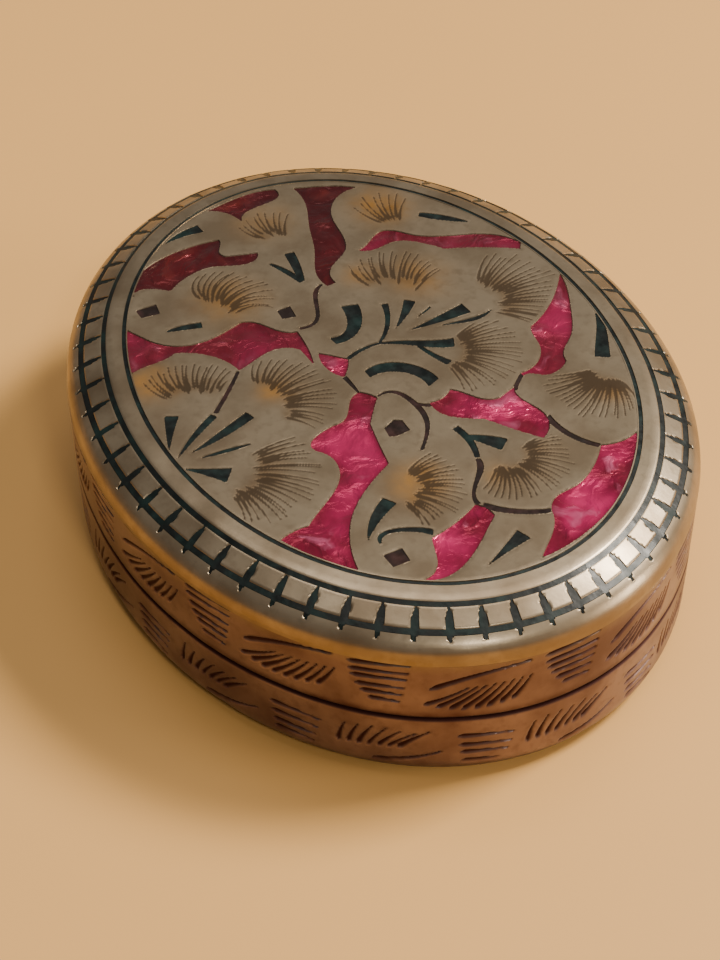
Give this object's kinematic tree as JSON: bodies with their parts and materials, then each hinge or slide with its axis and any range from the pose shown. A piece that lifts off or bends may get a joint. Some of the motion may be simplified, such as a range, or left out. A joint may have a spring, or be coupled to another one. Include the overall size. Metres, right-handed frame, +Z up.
{
  "type": "pill box",
  "caption": "Small oval metal pill box with a lift-off lid, engraved brass sides and a flower-patterned top of pink enamel set in silvered metal.",
  "frame": {"origin": "middle of the underside, the face the box stands on", "axes": "+X along the long axis of the oval, +Y along its short axis, +Z up, the way the lid lifts"},
  "size_m": [0.05, 0.0392, 0.0129],
  "materials": {
    "worn_brass_side": "engraved brass, worn and darkened",
    "silvered_top": "satin silvered sheet, hand engraved",
    "collar_brass": "bright drawn strip",
    "underside_brass": "plain worn sheet",
    "pink_enamel": "translucent gloss over bright foil-like metal",
    "crimson_enamel": "translucent gloss, deep",
    "dark_teal_fill": "near-black blue-green fill",
    "dark_red_fill": "thin dark red fill"
  },
  "bodies": {
    "base": {"base_wall_band": "worn_brass_side", "base_bottom_plate": "underside_brass", "inner_collar": "collar_brass"},
    "lid": {"lid_wall_band": "worn_brass_side", "lid_top_plate": "silvered_top", "enamel_left_upper": "pink_enamel", "enamel_crimson_upper": "crimson_enamel", "enamel_top_edge": "crimson_enamel", "enamel_upper_band": "crimson_enamel", "enamel_upper_right": "crimson_enamel", "enamel_right": "crimson_enamel", "enamel_centre_right": "pink_enamel", "enamel_lower_right": "pink_enamel", "enamel_bottom": "pink_enamel", "enamel_left_lower": "pink_enamel", "enamel_drop": "crimson_enamel", "outer_groove_fill": "dark_teal_fill", "inner_groove_fill": "dark_teal_fill", "field_line_fill": "dark_teal_fill", "tile_divider_fills": "dark_teal_fill", "bud_squares": "dark_teal_fill", "left_flower_wedges": "dark_teal_fill", "centre_flower_wedges": "dark_teal_fill", "leaf_crescents": "dark_teal_fill", "leaf_slivers": "dark_teal_fill", "petal_seam_lines": "dark_red_fill"}
  },
  "joints": [
    {"name": "lid_lift", "type": "slide", "parent": "base", "child": "lid", "axis": [0, 0, 1], "range_m": [0, 0.02]}
  ]
}
